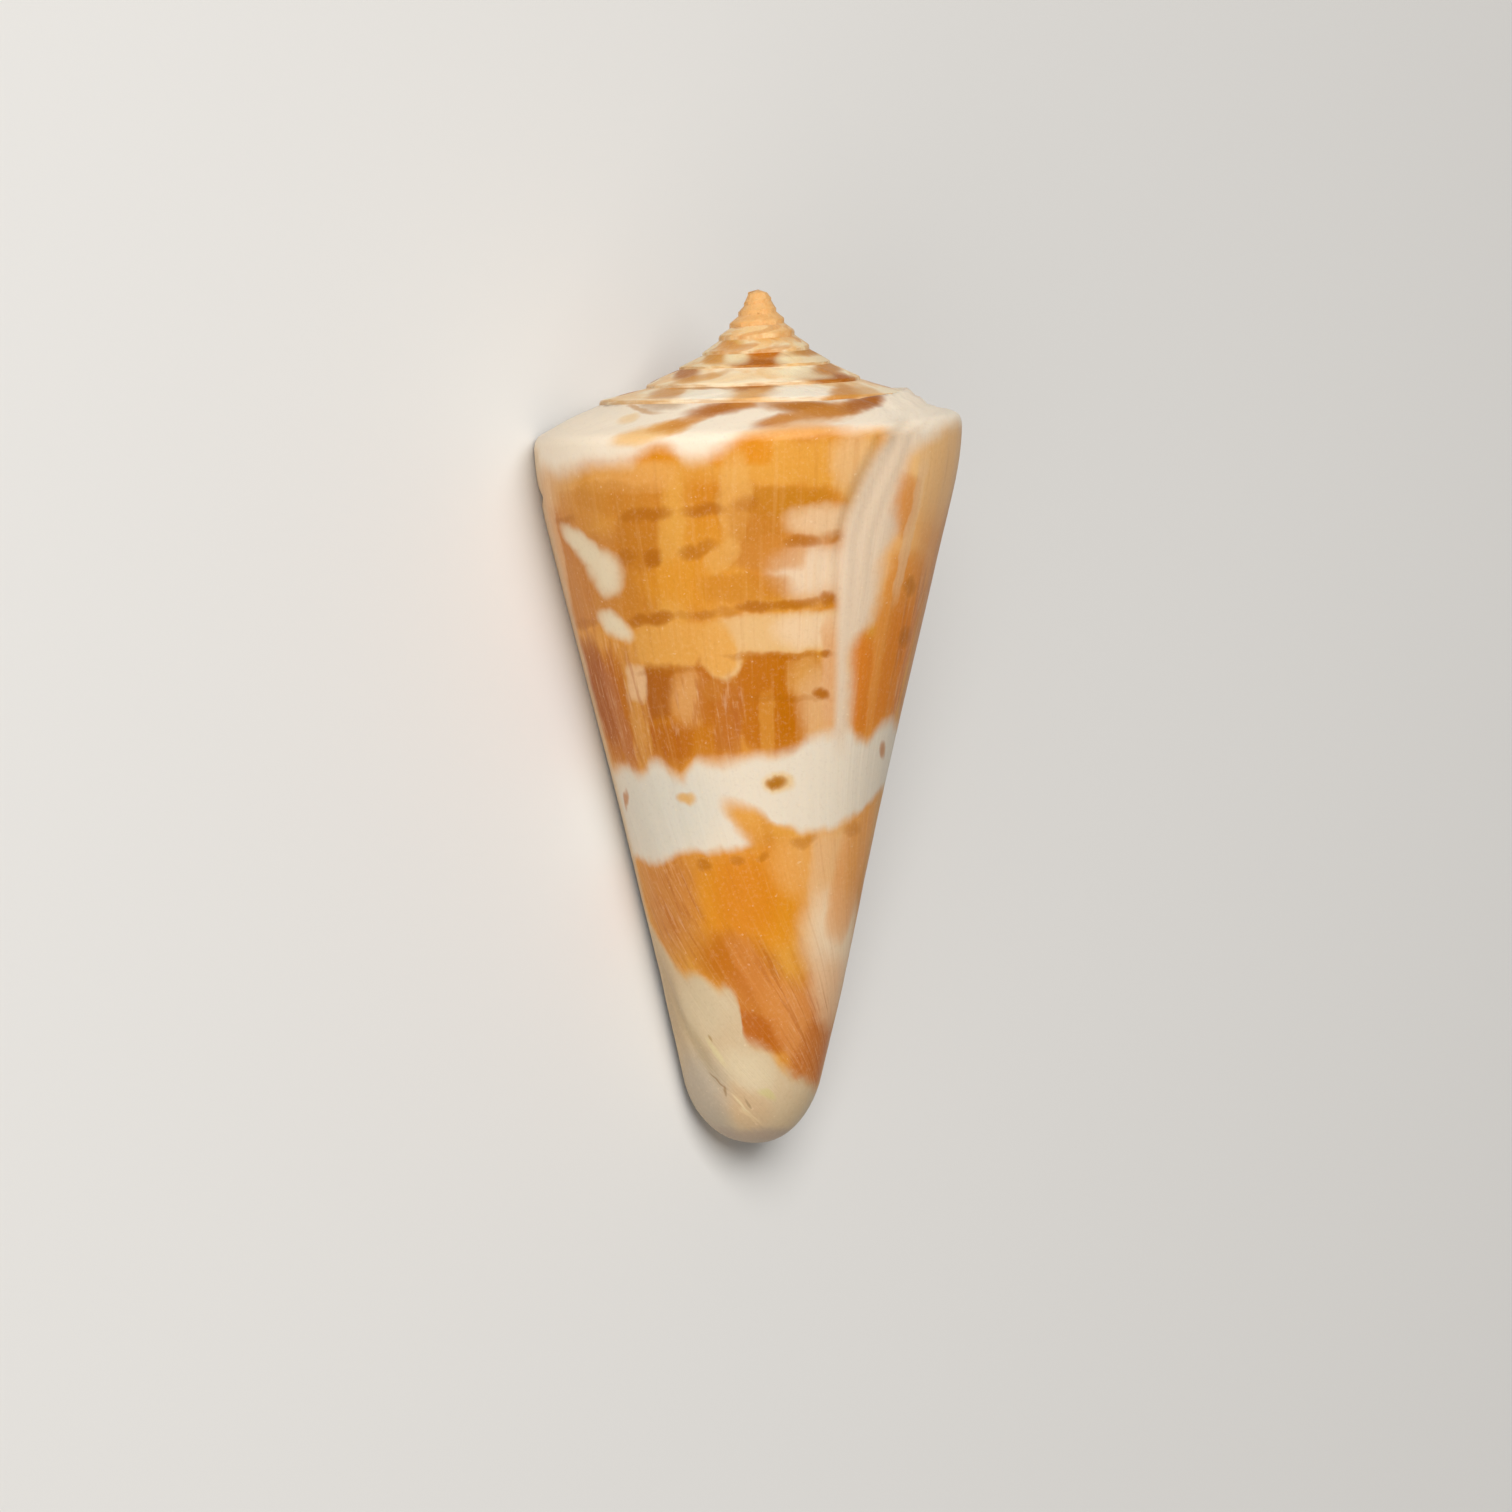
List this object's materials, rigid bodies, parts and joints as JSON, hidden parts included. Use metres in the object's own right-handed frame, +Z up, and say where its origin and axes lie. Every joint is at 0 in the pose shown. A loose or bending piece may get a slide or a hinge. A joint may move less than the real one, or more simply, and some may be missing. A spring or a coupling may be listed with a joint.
{
  "type": "cone shell",
  "caption": "Empty seashell in the form of a long cone with a low stepped spire and a narrow slit mouth along one side, lying on its lip and belly.",
  "frame": {"origin": "centre of the shell's box at the level of the surface it lies on", "axes": "+Z up; +Y along the shell towards its spire, which rises ten degrees from the surface; -X towards the outer lip"},
  "size_m": [0.024, 0.0492, 0.0218],
  "materials": {
    "shell": "glossy porcelain-like lime shell, orange with cream bands and brown marks"
  },
  "bodies": {
    "root": {"shell": "shell"}
  },
  "joints": []
}
